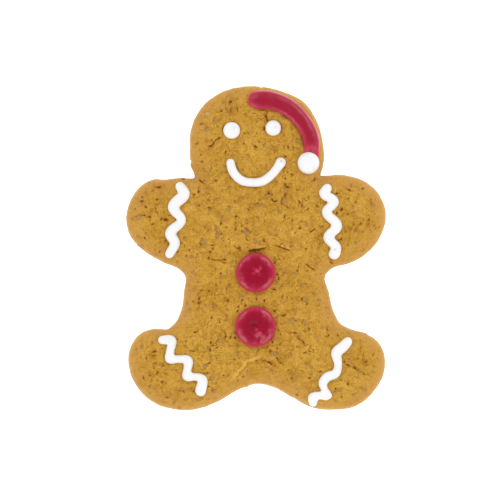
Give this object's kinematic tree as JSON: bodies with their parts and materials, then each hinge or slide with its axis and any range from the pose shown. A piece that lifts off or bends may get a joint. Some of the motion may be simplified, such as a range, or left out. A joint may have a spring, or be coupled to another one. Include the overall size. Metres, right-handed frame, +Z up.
{
  "type": "gingerbread santa cookie",
  "caption": "Thick gingerbread figure biscuit lying face up, with a piped red Santa hat, white icing face, cuffs and anklets and two red icing buttons.",
  "frame": {"origin": "middle of the figure's footprint, on the flat underside, at the level of what it lies on", "axes": "+Z up, out of the iced face; +Y towards the head; +X towards the side of the hat's bobble, which is on the right when the iced face is looked at with the head up"},
  "size_m": [0.088, 0.1099, 0.0125],
  "materials": {
    "gingerbread": "dry baked crust with fine pits",
    "white_icing": "set royal icing, soft sheen",
    "red_icing": "glossy dark red icing"
  },
  "bodies": {
    "root": {"biscuit": "gingerbread", "hat": "red_icing", "bobble": "white_icing", "left_eye": "white_icing", "right_eye": "white_icing", "smile": "white_icing", "left_cuff": "white_icing", "right_cuff": "white_icing", "left_anklet": "white_icing", "right_anklet": "white_icing", "upper_button": "red_icing", "lower_button": "red_icing"}
  },
  "joints": []
}
